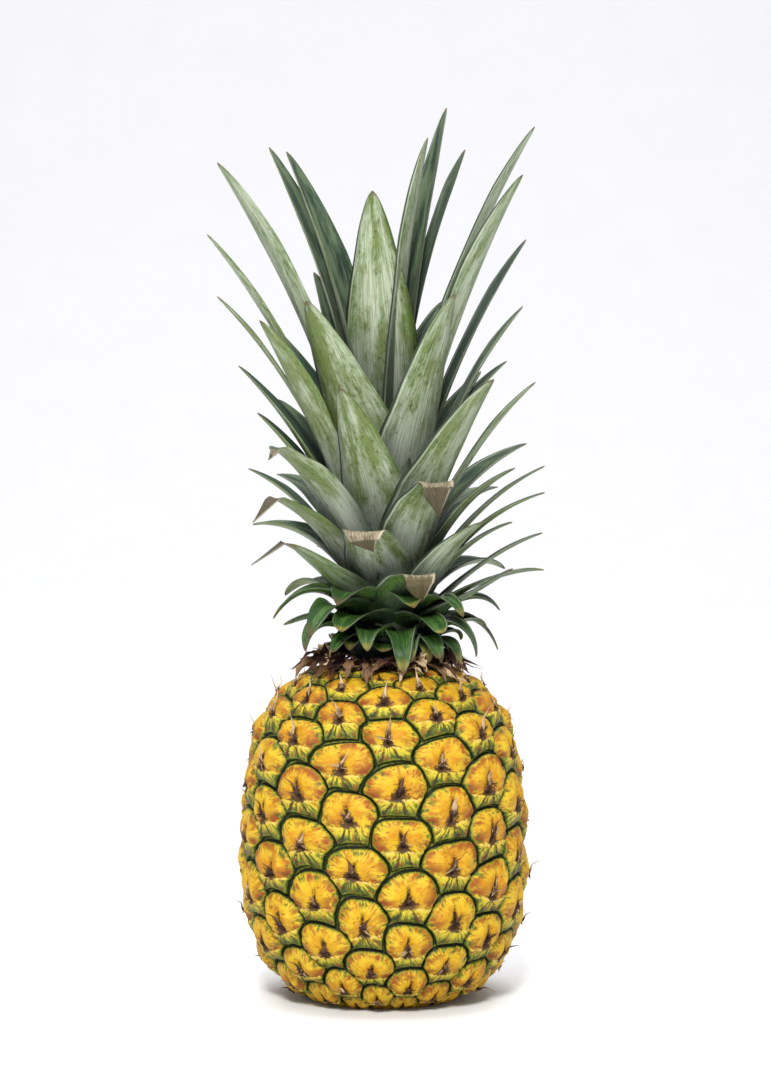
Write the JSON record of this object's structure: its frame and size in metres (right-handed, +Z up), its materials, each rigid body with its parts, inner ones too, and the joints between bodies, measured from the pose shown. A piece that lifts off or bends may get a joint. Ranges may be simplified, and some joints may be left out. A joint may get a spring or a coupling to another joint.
{
  "type": "pineapple",
  "caption": "Whole ripe pineapple standing upright on its cut base, golden eyed skin below a tall grey-green leafy crown.",
  "frame": {"origin": "middle of the cut face at the base, on the surface that the fruit stands on", "axes": "+Z up along the fruit to the crown, -Y towards the front, +X to the right seen from the front"},
  "size_m": [0.147, 0.134, 0.3911],
  "materials": {
    "fruit_skin": "waxy golden rind with dark green crevices",
    "crown_leaf": "stiff leaf, pale scurf outside and dark green inside",
    "dry_bract": "dry and papery",
    "stalk_wood": "cut fibrous stalk"
  },
  "bodies": {
    "root": {"fruit": "fruit_skin", "stalk": "stalk_wood", "neck_bracts": "dry_bract", "crown": "crown_leaf"}
  },
  "joints": []
}
